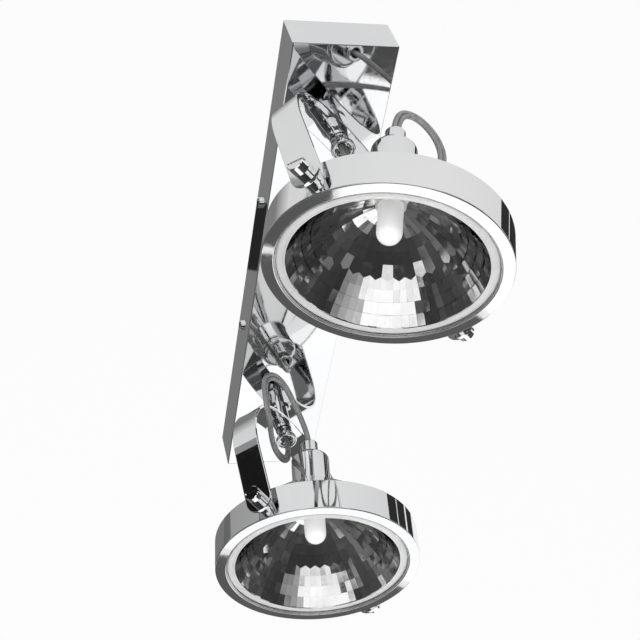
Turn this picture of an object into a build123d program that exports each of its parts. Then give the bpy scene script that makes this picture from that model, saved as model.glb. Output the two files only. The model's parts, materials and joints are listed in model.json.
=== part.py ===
from build123d import *
import math
import os

os.makedirs("parts", exist_ok=True)

# Twin spotlight on a long wall canopy. Millimetres, +Z up, the wall is the plane Y = 0,
# the light stands out towards -Y, and the origin is the middle of the mounting face.

# Canopy: a folded sheet tray, open towards the wall
CANOPY_WIDTH = 61.0
CANOPY_LENGTH = 330.0
CANOPY_DEPTH = 26.0
SHEET = 1.2
CANOPY_EDGE_RADIUS = 0.8
SWIVEL_SPACING = 230.0

# Wall bracket inside the canopy
BRACKET_LENGTH = 260.0
BRACKET_SHEET = 1.5
BRACKET_FLANGE = 16.0
BRACKET_SIDE_GAP = 0.2
WALL_SLOT_SPACING = 120.0
WALL_SLOT_WIDTH = 5.0
WALL_SLOT_LENGTH = 12.0
CABLE_HOLE_DIAMETER = 16.0
CABLE_HOLE_HEIGHT = 12.0

# Side screws that hold the canopy to the bracket
SIDE_SCREW_DIAMETER = 4.0
SIDE_SCREW_HEAD_DIAMETER = 6.6
SIDE_SCREW_HEAD_HEIGHT = 2.0
SIDE_SCREW_LENGTH = 8.0
SIDE_SCREW_FROM_WALL = 9.5
SIDE_SCREW_SPACING = 98.0
SIDE_SCREW_HEAD_EDGE = 0.6
CROSS_SLOT_LENGTH = 4.3
CROSS_SLOT_WIDTH = 0.9
CROSS_SLOT_DEPTH = 1.0

# Electronics: one low-voltage transformer for each lamp and a mains terminal block
TRANSFORMER_LENGTH = 78.0
TRANSFORMER_WIDTH = 36.0
TRANSFORMER_HEIGHT = 17.0
TRANSFORMER_FROM_MIDDLE = 22.0
TRANSFORMER_EDGE_RADIUS = 2.0
EAR_LENGTH = 9.0
EAR_WIDTH = 21.6
EAR_HEIGHT = 2.5
STUD_DIAMETER = 3.0
STUD_LENGTH = 7.0
STUD_NUT_ACROSS_FLATS = 5.5
STUD_NUT_HEIGHT = 2.4
TERMINAL_POLES = 3
TERMINAL_PITCH = 9.0
TERMINAL_DEPTH = 15.0
TERMINAL_HEIGHT = 12.0
TERMINAL_CENTRE_Z = -10.0
TERMINAL_EDGE = 1.0
CLAMP_DIAMETER = 5.0
CLAMP_BORE = 3.0
CLAMP_HEIGHT = 5.0
CLAMP_RECESS = 1.0
CLAMP_SCREW_DIAMETER = 2.5
CLAMP_SCREW_LENGTH = 5.0
CLAMP_SCREW_FROM_MIDDLE = 4.0
CLAMP_SLOT_WIDTH = 0.5
CLAMP_SLOT_DEPTH = 0.5
EARTH_FROM_FLANGE = 5.6
EARTH_SCREW_DIAMETER = 4.0
EARTH_SCREW_HEAD_DIAMETER = 8.0
EARTH_SCREW_HEAD_HEIGHT = 3.0
EARTH_SCREW_LENGTH = 2.0
EARTH_SLOT_WIDTH = 1.0
EARTH_SLOT_DEPTH = 1.0
EARTH_TAG_WIDTH = 4.0
EARTH_TAG_REACH = 11.2
EARTH_TAG_THICKNESS = 0.8

# Swivel: a hollow stem that turns in the canopy front, held by a nut inside
STEM_DIAMETER = 12.0
STEM_FLANGE_DIAMETER = 17.0
STEM_FLANGE_HEIGHT = 2.0
STEM_SHANK_DIAMETER = 10.0
STEM_SHANK_LENGTH = 13.0
STEM_SPIGOT_DIAMETER = 8.0
STEM_SPIGOT_LENGTH = 4.0
STEM_BORE = 5.0
STEM_HEIGHT = 16.0
WASHER_DIAMETER = 20.0
WASHER_THICKNESS = 1.0
STOP_TAB_REACH = 14.0
STOP_TAB_WIDTH = 3.0
STOP_PEG_DIAMETER = 3.0
STOP_PEG_LENGTH = 4.0
STOP_PEG_RADIUS = 12.2
STEM_NUT_ACROSS_FLATS = 14.0
STEM_NUT_HEIGHT = 4.0
RUNNING_CLEARANCE = 0.06
THRUST_GAP = 0.05

# Bow: a flat strip bent to a half circle with two straight arms, clear of the drum by the pivot gap
PIVOT_GAP = 5.0
BOW_SHEET = 2.0
BOW_WIDTH = 16.5
PIVOT_HEIGHT = 124.0

# Bell: the cord outlet that clamps the bow to the stem
BELL_FOOT_DIAMETER = 11.0
BELL_RIM_DIAMETER = 14.0
BELL_HEIGHT = 10.5
BELL_FOOT_HEIGHT = 2.5
BELL_RIM_HEIGHT = 2.5
BELL_RIM_EDGE = 0.8
BELL_WAIST = 0.3
BELL_MOUTH_DIAMETER = 9.2
BELL_MOUTH_DEPTH = 5.0
BELL_MOUTH_STEP = 1.2
BELL_LEAD_BORE = 3.6

# Tilt pivot: two slotted thumb screws with bushes and inner nuts
THUMB_HEAD_DIAMETER = 9.2
THUMB_HEAD_LENGTH = 7.5
THUMB_SHANK_DIAMETER = 5.0
THUMB_SLOT_WIDTH = 1.2
THUMB_SLOT_DEPTH = 2.0
THUMB_EDGE = 0.4
BUSH_DIAMETER = 10.0
TILT_NUT_ACROSS_FLATS = 8.0
TILT_NUT_HEIGHT = 4.0
SHANK_PAST_NUT = 0.6

# Drum: the ring round the lamp, from the pivot axis forward and back
BEZEL_WIDTH = 6.5
DRUM_FRONT = 10.0
DRUM_BACK = 10.0
DRUM_SHEET = 1.2
DRUM_EDGE_RADIUS = 0.5
LEDGE_REACH = 3.5
LEDGE_THICKNESS = 1.2

# Lamp: a 111 mm reflector lamp with a frosted burner on its axis
LAMP_DIAMETER = 111.0
LAMP_CLEARANCE = 0.5
LAMP_RIM_WIDTH = 5.0
LAMP_RIM_THICKNESS = 1.2
LAMP_RECESS = 1.6
BOWL_LIP = 0.4
BOWL_DEPTH = 41.0
BOWL_WALL = 1.0
BOWL_NECK_DIAMETER = 16.0
BURNER_DIAMETER = 13.4
BURNER_TIP_FROM_FACE = 17.9
LAMP_BASE_DIAMETER = 22.0
LAMP_BASE_HEIGHT = 6.0
LAMP_LUG_SPACING = 53.0
LAMP_LUG_WIDTH = 6.0
LAMP_LUG_BACK = 31.0
LAMP_LEAD_DIAMETER = 2.0
LEAD_BEND_FROM_AXIS = 8.0
LEAD_SPREAD = 4.5
RETAINER_WIRE = 1.2
RETAINER_GROOVE = 0.24
RETAINER_GAP_DEGREES = 8.0

# Rear of the head: a spun cone, a screw cap and its cord gland
HOUSING_SHEET = 1.2
HOUSING_FLANGE = 4.5
HOUSING_END = 50.0
HOUSING_NECK_DIAMETER = 26.0
SPIGOT_DIAMETER = 22.0
SPIGOT_LENGTH = 6.0
CAP_DIAMETER = 25.0
CAP_LENGTH = 23.0
CAP_WALL = 1.4
CAP_END = 2.0
CAP_SHOULDER_RADIUS = 3.0
GLAND_DIAMETER = 11.4
GLAND_LENGTH = 12.0
GLAND_SPIGOT_DIAMETER = 8.0
SPIGOT_PAST_NUT = 1.0
GLAND_NUT_ACROSS_FLATS = 11.0
GLAND_NUT_HEIGHT = 3.0
GLAND_MOUTH_DEPTH = 5.0
GLAND_EDGE = 0.8

# Fits, and how far a cut runs past the face it starts from
FIT_GAP = 0.02
CUT_PAST = 1.0

# Cord from the bell to the gland
CORD_DIAMETER = 5.6
CORD_MOUTH_GAP = 0.3
CORD_STRAIGHT_AT_GLAND = 9.0

# The pose of each head: swivel from the canopy's cross axis and tilt from straight out
SWIVEL_DEGREES = {"upper": -44.0, "lower": -51.0}
TILT_DEGREES = {"upper": 21.0, "lower": 10.0}
SWIVEL_HEIGHT = {"upper": SWIVEL_SPACING / 2, "lower": -SWIVEL_SPACING / 2}

# Cord routes between the bell and the gland, along the tilt axis, across it and out from the canopy
CORD_ROUTE = {
    "upper": [
        (0.0, 0.0, 35.0),
        (4.0, 1.5, 47.0),
        (14.0, 7.0, 54.5),
        (27.0, 18.0, 56.0),
        (37.0, 30.0, 49.5),
        (40.5, 38.5, 38.0),
        (39.5, 41.5, 26.0),
        (33.5, 42.0, 17.0),
        (24.0, 40.8, 14.5),
        (14.0, 38.8, 18.5),
        (5.5, 36.2, 26.5),
    ],
    "lower": [
        (0.0, 0.0, 35.0),
        (-3.5, -1.5, 46.0),
        (-14.0, -1.5, 52.5),
        (-29.0, 1.0, 53.0),
        (-44.5, 9.0, 49.0),
        (-56.0, 15.0, 38.5),
        (-58.5, 18.5, 26.5),
        (-49.0, 21.5, 17.5),
        (-34.0, 21.5, 13.7),
        (-19.0, 19.0, 16.5),
        (-6.5, 17.0, 25.5),
    ],
}

# Values that follow from the sizes above
BRACKET_WIDTH = CANOPY_WIDTH - 2 * SHEET - 2 * BRACKET_SIDE_GAP
EARTH_SCREW_X = BRACKET_WIDTH / 2 - BRACKET_SHEET - EARTH_FROM_FLANGE
BOWL_DIAMETER = LAMP_DIAMETER - 2 * LAMP_RIM_WIDTH
APERTURE_DIAMETER = LAMP_DIAMETER + 2 * LAMP_CLEARANCE
DRUM_DIAMETER = APERTURE_DIAMETER + 2 * BEZEL_WIDTH
DRUM_RADIUS = DRUM_DIAMETER / 2
APERTURE_RADIUS = APERTURE_DIAMETER / 2
LAMP_FACE = DRUM_FRONT - LAMP_RECESS
LEDGE_TOP = LAMP_FACE - LAMP_RIM_THICKNESS
BOWL_RIM = LAMP_FACE - BOWL_LIP
BOWL_BOTTOM = BOWL_RIM - BOWL_DEPTH
BOW_INNER_RADIUS = DRUM_RADIUS + PIVOT_GAP
BOW_OUTER_RADIUS = BOW_INNER_RADIUS + BOW_SHEET
BOW_CENTRE = STEM_HEIGHT + BOW_OUTER_RADIUS
BELL_SEAT = STEM_HEIGHT + BOW_SHEET
BELL_RIM = BELL_SEAT + BELL_HEIGHT
BELL_FLOOR = BELL_RIM - BELL_MOUTH_DEPTH
CAP_BACK = HOUSING_END + CAP_LENGTH
GLAND_BACK = CAP_BACK + GLAND_LENGTH
GLAND_FLOOR = GLAND_BACK - GLAND_MOUTH_DEPTH
CANOPY_INNER_FRONT = CANOPY_DEPTH - SHEET


def save(node, *solids):
    """Write one node, which may hold several like solids."""
    shape = solids[0] if len(solids) == 1 else Compound(children=list(solids))
    export_step(shape, f"parts/{node}.step")


def lathe(points):
    """Turn a closed outline of (radius, height) corners about the Z axis."""
    outline = Polyline(*[(r, 0, z) for r, z in points], close=True)
    return revolve(make_face(outline), axis=Axis.Z, revolution_arc=360)


def rod(radius, start, end):
    """A cylinder on the Z axis between two heights."""
    return Pos(0, 0, (start + end) / 2) * Cylinder(radius, end - start)


def tube(outer, inner, start, end):
    return rod(outer, start, end) - rod(inner, start - CUT_PAST, end + CUT_PAST)


def hex_nut(across_flats, bore, start, end):
    prism = extrude(RegularPolygon(across_flats / 2, 6, major_radius=False), end - start)
    return Pos(0, 0, start) * prism - rod(bore / 2, start - CUT_PAST, end + CUT_PAST)


def round_sweep(path, diameter):
    """A round wire or sleeve along a path."""
    start = Plane(origin=path @ 0, z_dir=path % 0)
    return sweep(start * Circle(diameter / 2), path=path)


def wall_frame(x, z):
    """A frame on the wall plane that looks out along -Y, with its own Y axis up."""
    return Plane(origin=(x, 0, z), x_dir=(1, 0, 0), z_dir=(0, -1, 0)).location


# Side screw places: distance from the wall and height, the same on both sides
SIDE_SCREW_HEIGHTS = (SIDE_SCREW_SPACING / 2, -SIDE_SCREW_SPACING / 2)


def side_frames():
    """Frames at the side screws, looking out of the canopy's left and right walls."""
    for side in (-1, 1):
        for height in SIDE_SCREW_HEIGHTS:
            origin = (side * CANOPY_WIDTH / 2, -SIDE_SCREW_FROM_WALL, height)
            yield Plane(origin=origin, x_dir=(0, 0, 1), z_dir=(side, 0, 0)).location


def stud_frames():
    """Frames on the inner face of the canopy front, looking back to the wall."""
    for side in (-1, 1):
        for end in (EAR_LENGTH / 2, TRANSFORMER_LENGTH - EAR_LENGTH / 2):
            height = side * (TRANSFORMER_FROM_MIDDLE + end)
            origin = (0, -CANOPY_INNER_FRONT, height)
            yield Plane(origin=origin, x_dir=(1, 0, 0), z_dir=(0, 1, 0)).location


def unit_frame(unit):
    """The swivel's frame: Z out of the canopy front, X along the tilt axis."""
    turn = math.radians(SWIVEL_DEGREES[unit])
    origin = (0, -CANOPY_DEPTH, SWIVEL_HEIGHT[unit])
    return Plane(origin=origin, x_dir=(math.cos(turn), 0, math.sin(turn)), z_dir=(0, -1, 0)).location


def head_frame(unit):
    """The head's frame: the pivot is its origin, Z is the beam, X is the tilt axis."""
    return unit_frame(unit) * Pos(0, 0, PIVOT_HEIGHT) * Rot(TILT_DEGREES[unit], 0, 0)


# Canopy with its swivel holes, side holes, studs and stop pegs
def canopy():
    outer = Box(CANOPY_WIDTH, CANOPY_DEPTH, CANOPY_LENGTH)
    outer = fillet(outer.edges().filter_by(Axis.Y), CANOPY_EDGE_RADIUS)
    outer = fillet(outer.faces().sort_by(Axis.Y)[0].edges(), CANOPY_EDGE_RADIUS)
    inner = Box(CANOPY_WIDTH - 2 * SHEET, CANOPY_DEPTH, CANOPY_LENGTH - 2 * SHEET)
    shell = Pos(0, -CANOPY_DEPTH / 2, 0) * (outer - Pos(0, SHEET, 0) * inner)
    hole = STEM_SHANK_DIAMETER / 2 + RUNNING_CLEARANCE
    for unit in SWIVEL_HEIGHT:
        place = Pos(0, -CANOPY_DEPTH, SWIVEL_HEIGHT[unit]) * Rot(90, 0, 0)
        shell -= place * rod(hole, -2 * SHEET, SHEET)
        peg = rod(STOP_PEG_DIAMETER / 2, -SHEET - STOP_PEG_LENGTH, -SHEET / 2)
        shell += place * Pos(0, -STOP_PEG_RADIUS, 0) * peg
    for frame in side_frames():
        shell -= frame * rod(SIDE_SCREW_DIAMETER / 2 + FIT_GAP, -2 * SHEET, SHEET)
    for frame in stud_frames():
        shell += frame * rod(STUD_DIAMETER / 2, -SHEET / 2, STUD_LENGTH)
    return shell


# Wall bracket: a channel with slots for the wall screws and tapped side flanges
def wall_bracket():
    plate = Pos(0, -BRACKET_FLANGE / 2, 0) * Box(BRACKET_WIDTH, BRACKET_FLANGE, BRACKET_LENGTH)
    channel_gap = Box(BRACKET_WIDTH - 2 * BRACKET_SHEET, BRACKET_FLANGE, BRACKET_LENGTH + 2 * CUT_PAST)
    plate -= Pos(0, -BRACKET_FLANGE / 2 - BRACKET_SHEET, 0) * channel_gap
    slot = extrude(SlotOverall(WALL_SLOT_LENGTH, WALL_SLOT_WIDTH), 3 * BRACKET_SHEET, both=True)
    for side in (-1, 1):
        plate -= wall_frame(0, side * WALL_SLOT_SPACING / 2) * Rot(0, 0, 90) * slot
    hole_end = BRACKET_SHEET + CUT_PAST
    plate -= wall_frame(0, CABLE_HOLE_HEIGHT) * rod(CABLE_HOLE_DIAMETER / 2, -CUT_PAST, hole_end)
    plate -= earth_frame() * rod(EARTH_SCREW_DIAMETER / 2 + FIT_GAP, -CUT_PAST, hole_end)
    for frame in side_frames():
        plate -= frame * rod(SIDE_SCREW_DIAMETER / 2 + FIT_GAP, -2 * SIDE_SCREW_LENGTH, 0)
    return plate


def side_screws():
    head = rod(SIDE_SCREW_HEAD_DIAMETER / 2, 0, SIDE_SCREW_HEAD_HEIGHT)
    head = chamfer(head.edges().sort_by(Axis.Z)[-1], SIDE_SCREW_HEAD_EDGE)
    screw = rod(SIDE_SCREW_DIAMETER / 2, -SIDE_SCREW_LENGTH, 0) + head
    slot = Box(CROSS_SLOT_LENGTH, CROSS_SLOT_WIDTH, 2 * CROSS_SLOT_DEPTH)
    for turn in (0, 90):
        screw -= Pos(0, 0, SIDE_SCREW_HEAD_HEIGHT) * Rot(0, 0, turn) * slot
    return [frame * screw for frame in side_frames()]


# Transformers hang on the studs of the canopy front
def transformer(side):
    body_length = TRANSFORMER_LENGTH - 2 * EAR_LENGTH
    body = Box(TRANSFORMER_WIDTH, TRANSFORMER_HEIGHT, body_length)
    body = fillet(body.edges(), TRANSFORMER_EDGE_RADIUS)
    ears = Box(EAR_WIDTH, EAR_HEIGHT, TRANSFORMER_LENGTH)
    ears = Pos(0, -(TRANSFORMER_HEIGHT - EAR_HEIGHT) / 2, 0) * ears
    middle = side * (TRANSFORMER_FROM_MIDDLE + TRANSFORMER_LENGTH / 2)
    case = Pos(0, -CANOPY_INNER_FRONT + TRANSFORMER_HEIGHT / 2, middle) * (body + ears)
    for frame in stud_frames():
        case -= frame * rod(STUD_DIAMETER / 2 + FIT_GAP, -SHEET, STUD_LENGTH)
    return case


def stud_nuts():
    top = EAR_HEIGHT + STUD_NUT_HEIGHT
    nut = hex_nut(STUD_NUT_ACROSS_FLATS, STUD_DIAMETER + 2 * FIT_GAP, EAR_HEIGHT, top)
    return [frame * nut for frame in stud_frames()]


# Mains terminal block on the bracket, with its brass clamps and their screws
def terminal_frame():
    return Pos(0, -BRACKET_SHEET, TERMINAL_CENTRE_Z) * Rot(90, 0, 0)


def pole_places():
    return [(n - (TERMINAL_POLES - 1) / 2) * TERMINAL_PITCH for n in range(TERMINAL_POLES)]


def clamp_screw_places():
    return [(x, y) for x in pole_places() for y in (-CLAMP_SCREW_FROM_MIDDLE, CLAMP_SCREW_FROM_MIDDLE)]


def along_pole(x, diameter, length):
    """A cylinder through one pole of the block, in the terminal frame."""
    return Pos(x, 0, CLAMP_HEIGHT) * Rot(90, 0, 0) * Cylinder(diameter / 2, length)


def terminal_block():
    block = Box(TERMINAL_POLES * TERMINAL_PITCH, TERMINAL_DEPTH, TERMINAL_HEIGHT)
    block = Pos(0, 0, TERMINAL_HEIGHT / 2) * chamfer(block.edges().filter_by(Axis.Y), TERMINAL_EDGE)
    for x in pole_places():
        block -= along_pole(x, CLAMP_DIAMETER, TERMINAL_DEPTH + CUT_PAST)
    screw_hole = rod(CLAMP_SCREW_DIAMETER / 2 + FIT_GAP, CLAMP_HEIGHT, TERMINAL_HEIGHT + CUT_PAST)
    for x, y in clamp_screw_places():
        block -= Pos(x, y, 0) * screw_hole
    return terminal_frame() * block


def terminal_clamps():
    clamps = []
    screw_hole = rod(CLAMP_SCREW_DIAMETER / 2 + FIT_GAP, CLAMP_HEIGHT, TERMINAL_HEIGHT)
    for x in pole_places():
        clamp = along_pole(x, CLAMP_DIAMETER, TERMINAL_DEPTH - 2 * CLAMP_RECESS)
        clamp -= along_pole(x, CLAMP_BORE, TERMINAL_DEPTH)
        for y in (-CLAMP_SCREW_FROM_MIDDLE, CLAMP_SCREW_FROM_MIDDLE):
            clamp -= Pos(x, y, 0) * screw_hole
        clamps.append(terminal_frame() * clamp)
    return clamps


def terminal_screws():
    top = CLAMP_HEIGHT + CLAMP_BORE / 2 - FIT_GAP + CLAMP_SCREW_LENGTH
    screw = rod(CLAMP_SCREW_DIAMETER / 2, top - CLAMP_SCREW_LENGTH, top)
    screw -= Pos(0, 0, top) * Box(CLAMP_SCREW_DIAMETER + CUT_PAST, CLAMP_SLOT_WIDTH, 2 * CLAMP_SLOT_DEPTH)
    return [terminal_frame() * Pos(x, y, 0) * screw for x, y in clamp_screw_places()]


# Earth point on the bracket
def earth_frame():
    return wall_frame(EARTH_SCREW_X, TERMINAL_CENTRE_Z)


def earth_screw():
    seat = BRACKET_SHEET + EARTH_TAG_THICKNESS
    top = seat + EARTH_SCREW_HEAD_HEIGHT
    screw = rod(EARTH_SCREW_HEAD_DIAMETER / 2, seat, top)
    screw += rod(EARTH_SCREW_DIAMETER / 2, seat - EARTH_SCREW_LENGTH, seat)
    slot = Box(EARTH_SCREW_HEAD_DIAMETER + CUT_PAST, EARTH_SLOT_WIDTH, 2 * EARTH_SLOT_DEPTH)
    return earth_frame() * (screw - Pos(0, 0, top) * slot)


def earth_tag():
    """Ring under the screw head with a blade for the wire."""
    bore = EARTH_SCREW_DIAMETER / 2 + FIT_GAP
    blade_start = (EARTH_SCREW_DIAMETER + EARTH_SCREW_HEAD_DIAMETER) / 4
    blade = Box(EARTH_TAG_WIDTH, EARTH_TAG_REACH - blade_start, EARTH_TAG_THICKNESS)
    tag = Pos(0, (EARTH_TAG_REACH + blade_start) / 2, EARTH_TAG_THICKNESS / 2) * blade
    tag += tube(EARTH_SCREW_HEAD_DIAMETER / 2, bore, 0, EARTH_TAG_THICKNESS)
    return earth_frame() * Pos(0, 0, BRACKET_SHEET) * tag


# Swivel parts, in the unit frame
def swivel_stem():
    flange_top = THRUST_GAP + STEM_FLANGE_HEIGHT
    stem = rod(STEM_SHANK_DIAMETER / 2, -STEM_SHANK_LENGTH, THRUST_GAP)
    stem += rod(STEM_FLANGE_DIAMETER / 2, THRUST_GAP, flange_top)
    stem += rod(STEM_DIAMETER / 2, flange_top, BELL_SEAT) - bow_cylinder(BOW_OUTER_RADIUS)
    spigot_top = BELL_SEAT + STEM_SPIGOT_LENGTH
    stem += rod(STEM_SPIGOT_DIAMETER / 2, flange_top, spigot_top)
    return stem - rod(STEM_BORE / 2, -STEM_SHANK_LENGTH - CUT_PAST, spigot_top + CUT_PAST)


def bow_cylinder(radius):
    """The round of the bow's bottom, along its width."""
    return Pos(0, 0, BOW_CENTRE) * Rot(90, 0, 0) * Cylinder(radius, 3 * BOW_WIDTH)


def stop_washer():
    """Friction washer that turns with the stem; its tab meets the canopy's peg."""
    top = -SHEET - THRUST_GAP
    bore = STEM_SHANK_DIAMETER / 2 + FIT_GAP
    washer = rod(WASHER_DIAMETER / 2, top - WASHER_THICKNESS, top)
    tab = Pos(0, STOP_TAB_REACH / 2, top - WASHER_THICKNESS / 2)
    washer += tab * Box(STOP_TAB_WIDTH, STOP_TAB_REACH, WASHER_THICKNESS)
    return washer - rod(bore, top - 2 * WASHER_THICKNESS, top + CUT_PAST)


def stem_nut():
    top = -SHEET - THRUST_GAP - WASHER_THICKNESS
    return hex_nut(STEM_NUT_ACROSS_FLATS, STEM_SHANK_DIAMETER + 2 * FIT_GAP, top - STEM_NUT_HEIGHT, top)


def bow():
    """Strip in the plane of the tilt axis and the swivel axis, with rounded arm ends."""
    end = PIVOT_HEIGHT + BOW_WIDTH

    def stadium(radius):
        arms = Pos(0, (BOW_CENTRE + end) / 2) * Rectangle(2 * radius, end - BOW_CENTRE)
        return Pos(0, BOW_CENTRE) * Circle(radius) + arms

    strip = stadium(BOW_OUTER_RADIUS) - stadium(BOW_INNER_RADIUS)
    strip -= Pos(0, end) * Rectangle(2 * BOW_INNER_RADIUS, 2 * BOW_WIDTH)
    body = extrude(Plane.XZ * strip, BOW_WIDTH / 2, both=True)
    side = Pos(0, PIVOT_HEIGHT / 2) * Rectangle(BOW_WIDTH, PIVOT_HEIGHT)
    side += Pos(0, PIVOT_HEIGHT) * Circle(BOW_WIDTH / 2)
    body &= extrude(Plane.YZ * side, BOW_OUTER_RADIUS + CUT_PAST, both=True)
    pivot_hole = Cylinder(THUMB_SHANK_DIAMETER / 2 + RUNNING_CLEARANCE, 3 * BOW_OUTER_RADIUS)
    body -= Pos(0, 0, PIVOT_HEIGHT) * Rot(0, 90, 0) * pivot_hole
    return body - rod(STEM_SPIGOT_DIAMETER / 2 + FIT_GAP, 0, BELL_RIM)


def bell():
    """Flared outlet: a foot, a curved flare, a rim band and a stepped mouth."""
    foot = BELL_FOOT_DIAMETER / 2
    rim = BELL_RIM_DIAMETER / 2
    foot_top = BELL_SEAT + BELL_FOOT_HEIGHT
    rim_base = BELL_RIM - BELL_RIM_HEIGHT
    waist = (foot + (rim - foot) * BELL_WAIST, 0, (foot_top + rim_base) / 2)
    flare = ThreePointArc((foot, 0, foot_top), waist, (rim, 0, rim_base))
    sides = Polyline((rim, 0, rim_base), (rim, 0, BELL_RIM), (0, 0, BELL_RIM))
    under = Polyline((0, 0, BELL_RIM), (0, 0, BELL_SEAT), (foot, 0, BELL_SEAT), (foot, 0, foot_top))
    body = revolve(make_face(Wire([*flare.edges(), *sides.edges(), *under.edges()])), axis=Axis.Z)
    body = fillet(body.edges().filter_by(GeomType.CIRCLE).sort_by(Axis.Z)[-1], BELL_RIM_EDGE)
    body -= rod(BELL_MOUTH_DIAMETER / 2, BELL_FLOOR + BELL_MOUTH_STEP, BELL_RIM + CUT_PAST)
    body -= rod(BELL_MOUTH_DIAMETER / 2 - BELL_MOUTH_STEP, BELL_FLOOR, BELL_RIM)
    body -= rod(BELL_LEAD_BORE / 2, BELL_SEAT, BELL_FLOOR + CUT_PAST)
    body &= bow_cylinder(BOW_INNER_RADIUS)
    socket = STEM_SPIGOT_DIAMETER / 2 + FIT_GAP
    return body - rod(socket, BELL_SEAT - CUT_PAST, BELL_SEAT + STEM_SPIGOT_LENGTH)


# Head parts, in the head frame: the beam is +Z and the tilt axis is X
def drum():
    wall = DRUM_RADIUS - DRUM_SHEET
    collar = APERTURE_RADIUS + DRUM_SHEET
    ledge = APERTURE_RADIUS - LEDGE_REACH
    ring = lathe([
        (DRUM_RADIUS, -DRUM_BACK), (DRUM_RADIUS, DRUM_FRONT), (APERTURE_RADIUS, DRUM_FRONT),
        (APERTURE_RADIUS, LEDGE_TOP), (ledge, LEDGE_TOP), (ledge, LEDGE_TOP - LEDGE_THICKNESS),
        (collar, LEDGE_TOP - LEDGE_THICKNESS), (collar, DRUM_FRONT - DRUM_SHEET),
        (wall, DRUM_FRONT - DRUM_SHEET), (wall, -DRUM_BACK),
    ])
    rims = ring.edges().filter_by(GeomType.CIRCLE).group_by(Axis.Z)[-1]
    ring = fillet(rims.sort_by(SortBy.RADIUS)[-1], DRUM_EDGE_RADIUS)
    groove = Torus(retainer_radius(), RETAINER_WIRE / 2 + FIT_GAP)
    ring -= Pos(0, 0, LAMP_FACE + RETAINER_WIRE / 2) * groove
    return ring - Rot(0, 90, 0) * Cylinder(THUMB_SHANK_DIAMETER / 2 + FIT_GAP, 3 * DRUM_RADIUS)


def retainer_radius():
    return APERTURE_RADIUS - RETAINER_WIRE / 2 + RETAINER_GROOVE


def lamp_retainer():
    """Split wire ring that snaps into the drum's groove in front of the lamp rim."""
    gap = RETAINER_GAP_DEGREES
    path = CenterArc((0, 0, 0), retainer_radius(), 90 + gap / 2, 360 - gap)
    ring = round_sweep(path, RETAINER_WIRE)
    return Pos(0, 0, LAMP_FACE + RETAINER_WIRE / 2 + FIT_GAP) * ring


def bowl_height(radius):
    """Height of the lamp's parabolic reflector at a radius."""
    return BOWL_BOTTOM + BOWL_DEPTH * (radius / (BOWL_DIAMETER / 2)) ** 2


def bowl_radii(steps=6):
    """Radii from the reflector's neck to its edge."""
    first = BOWL_NECK_DIAMETER / 2
    last = BOWL_DIAMETER / 2
    return [first + (last - first) * n / steps for n in range(steps + 1)]


def bowl_inside():
    return [(r, 0, bowl_height(r)) for r in bowl_radii()]


def bowl_outside():
    return [(r + BOWL_WALL, 0, z - BOWL_WALL) for r, _, z in bowl_inside()]


def lamp_reflector():
    edge = BOWL_DIAMETER / 2
    rim = LAMP_DIAMETER / 2
    inner = Spline(*bowl_inside())
    outer = Spline(*bowl_outside())
    front = Polyline(
        (edge, 0, BOWL_RIM), (edge, 0, LAMP_FACE), (rim, 0, LAMP_FACE), (rim, 0, LEDGE_TOP),
        (edge + BOWL_WALL, 0, LEDGE_TOP), bowl_outside()[-1],
    )
    back = Polyline(bowl_outside()[0], bowl_inside()[0])
    outline = Wire([*inner.edges(), *front.edges(), *outer.edges(), *back.edges()])
    return revolve(make_face(outline), axis=Axis.Z)


def burner_seat():
    return bowl_height(BOWL_NECK_DIAMETER / 2)


def lamp_burner():
    radius = BURNER_DIAMETER / 2
    tip = DRUM_FRONT - BURNER_TIP_FROM_FACE
    capsule = rod(radius, burner_seat(), tip - radius)
    return capsule + Pos(0, 0, tip - radius) * Sphere(radius)


def base_shoulder():
    return burner_seat() - 2 * BOWL_WALL


def lamp_base():
    """Ceramic foot of the burner, seated in the neck of the reflector."""
    foot = rod(BOWL_NECK_DIAMETER / 2 - FIT_GAP, base_shoulder(), burner_seat())
    return foot + rod(LAMP_BASE_DIAMETER / 2, base_shoulder() - LAMP_BASE_HEIGHT, base_shoulder())


def lamp_lugs():
    """Two screw lugs on the back of the reflector, shaped to it."""
    outside = bowl_outside()
    first, last = outside[0], outside[-1]
    closing = Polyline(last, (last[0], 0, BOWL_RIM), (0, 0, BOWL_RIM), (0, 0, first[2]), first)
    filled = revolve(make_face(Wire([*Spline(*outside).edges(), *closing.edges()])), axis=Axis.Z)
    block = Pos(0, 0, -LAMP_LUG_BACK / 2) * Box(LAMP_LUG_WIDTH, LAMP_LUG_WIDTH, LAMP_LUG_BACK)
    return [Pos(side * LAMP_LUG_SPACING / 2, 0, 0) * block - filled for side in (-1, 1)]


def lamp_leads():
    """Insulated leads from the lugs to the cap."""
    bend = base_shoulder() - LAMP_BASE_HEIGHT - 2 * LAMP_LEAD_DIAMETER
    leads = []
    for side in (-1, 1):
        lug = side * LAMP_LUG_SPACING / 2
        inner = side * LEAD_SPREAD / 2
        points = [
            Vector(lug, 0, -LAMP_LUG_BACK),
            Vector(lug, 0, -LAMP_LUG_BACK - 2 * LAMP_LEAD_DIAMETER),
            Vector(side * LEAD_BEND_FROM_AXIS, 0, bend),
            Vector(inner, 0, -HOUSING_END - SPIGOT_LENGTH),
            Vector(inner, 0, -gland_spigot_end()),
        ]
        path = FilletPolyline(*points, radius=corner_radii(points))
        leads.append(round_sweep(path, LAMP_LEAD_DIAMETER))
    return leads


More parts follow.
